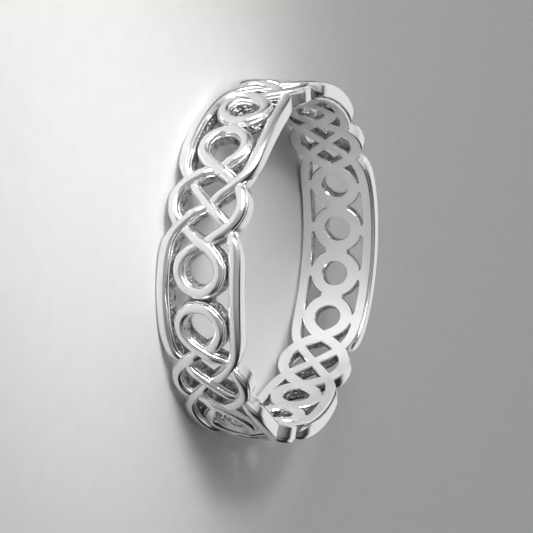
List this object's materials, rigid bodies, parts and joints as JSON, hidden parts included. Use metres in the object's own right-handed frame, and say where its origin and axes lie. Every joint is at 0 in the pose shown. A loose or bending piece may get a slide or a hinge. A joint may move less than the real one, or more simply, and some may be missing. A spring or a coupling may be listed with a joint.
{
  "type": "eternity band ring",
  "caption": "Finger ring cast as an openwork band of interlaced knots and round loops between two woven edge strands.",
  "frame": {"origin": "on the finger's axis, in the plane that the ring lies on", "axes": "+Z along the finger's axis, away from that plane; -X through the middle of the stretch that holds the row of four round loops"},
  "size_m": [0.0202, 0.0202, 0.0048],
  "materials": {
    "silver": "mirror-polished strand crowns, as-cast walls in the piercings, satin inside"
  },
  "bodies": {
    "root": {"knot_band": "silver"}
  },
  "joints": []
}
